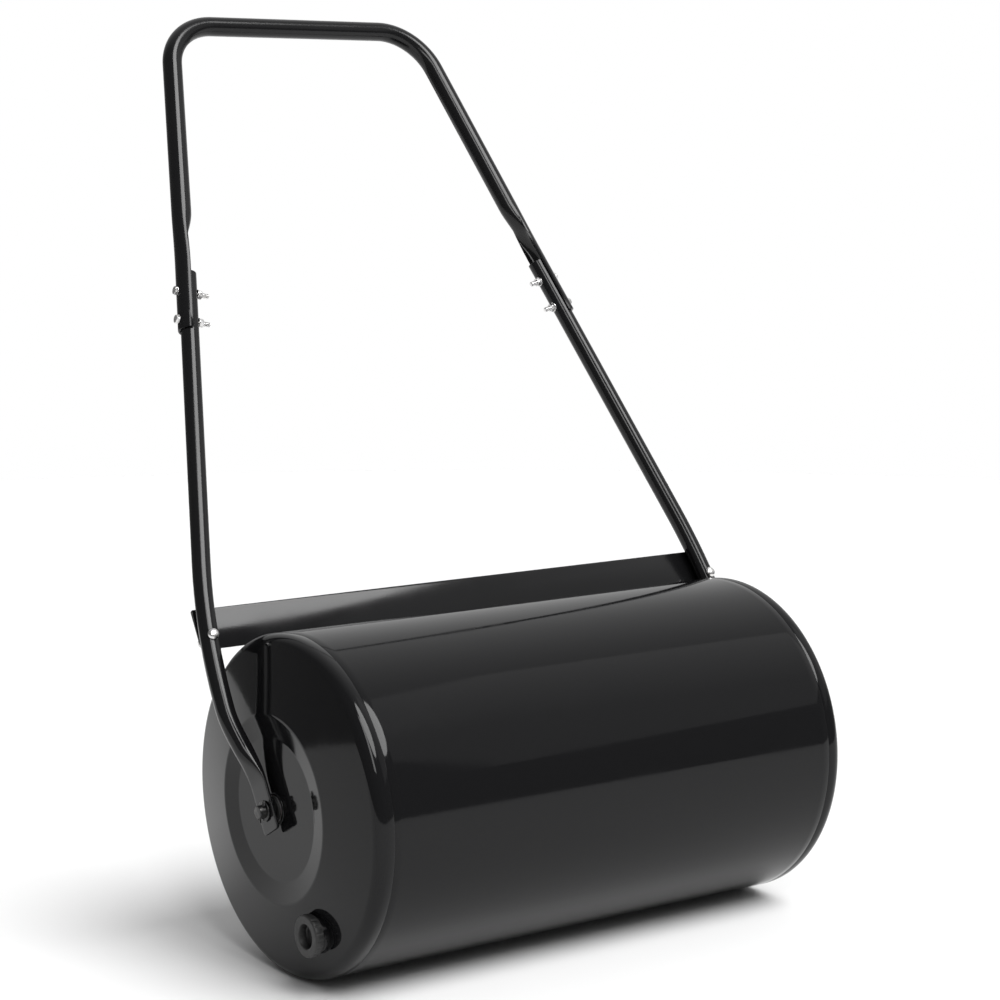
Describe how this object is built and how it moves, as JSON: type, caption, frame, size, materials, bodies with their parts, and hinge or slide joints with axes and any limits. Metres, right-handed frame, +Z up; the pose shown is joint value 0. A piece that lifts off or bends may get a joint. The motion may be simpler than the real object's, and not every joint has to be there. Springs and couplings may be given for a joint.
{
  "type": "lawn roller",
  "caption": "Push-pull garden lawn roller: a closed water-fillable black steel drum on an axle, with a scraper crossbar and a bolted U-shaped tubular handle.",
  "frame": {"origin": "middle of the line where the drum touches the ground, right under the axle", "axes": "+X along the axle, +Y back towards the side the handle leans to, +Z up"},
  "size_m": [0.627, 0.585, 0.8946],
  "materials": {
    "drum_paint": "gloss black powder coat",
    "handle_paint": "semi-gloss black powder coat",
    "zinc": "bright zinc plating",
    "axle_steel": "blackened, oiled steel",
    "inner_steel": "unpainted steel, hidden inside",
    "bush_plastic": "black nylon",
    "plug_plastic": "matte black moulded plastic",
    "gasket_rubber": "matte black rubber"
  },
  "bodies": {
    "handle": {"upper_handle": "handle_paint", "lower_tube_left": "handle_paint", "lower_tube_right": "handle_paint", "crossbar": "handle_paint", "joint_bolts": "zinc", "joint_washers": "zinc", "joint_nuts": "zinc", "crossbar_bolts": "zinc", "crossbar_washers": "zinc", "crossbar_nuts": "zinc"},
    "axle": {"axle": "axle_steel", "axle_washers_outer": "axle_steel", "axle_washers_inner": "axle_steel", "split_pins": "axle_steel"},
    "drum": {"drum_shell": "drum_paint", "end_cap_left": "drum_paint", "end_cap_right": "drum_paint", "core_tube": "inner_steel", "bush_left": "bush_plastic", "bush_right": "bush_plastic", "hub_plates": "inner_steel", "fill_boss": "drum_paint"},
    "plug_gasket": {"plug_gasket": "gasket_rubber"},
    "fill_plug": {"fill_plug": "plug_plastic"}
  },
  "joints": [
    {"name": "axle_turn", "type": "hinge", "parent": "handle", "child": "axle", "pos_m": [0, 0, 0.16], "axis": [1, 0, 0], "continuous": true},
    {"name": "drum_spin", "type": "hinge", "parent": "axle", "child": "drum", "pos_m": [0, 0, 0.16], "axis": [1, 0, 0], "continuous": true},
    {"name": "plug_rise", "type": "slide", "parent": "drum", "child": "plug_gasket", "axis": [-1, 0, 0], "range_m": [0, 0.001]},
    {"name": "plug_turn", "type": "hinge", "parent": "plug_gasket", "child": "fill_plug", "pos_m": [-0.29, -0.06712, 0.0586], "axis": [-1, 0, 0], "range_deg": [0, 180]}
  ],
  "couplings": [
    {"joint": "plug_rise", "follows": "plug_turn", "m_per_rad": 0.0003183}
  ]
}
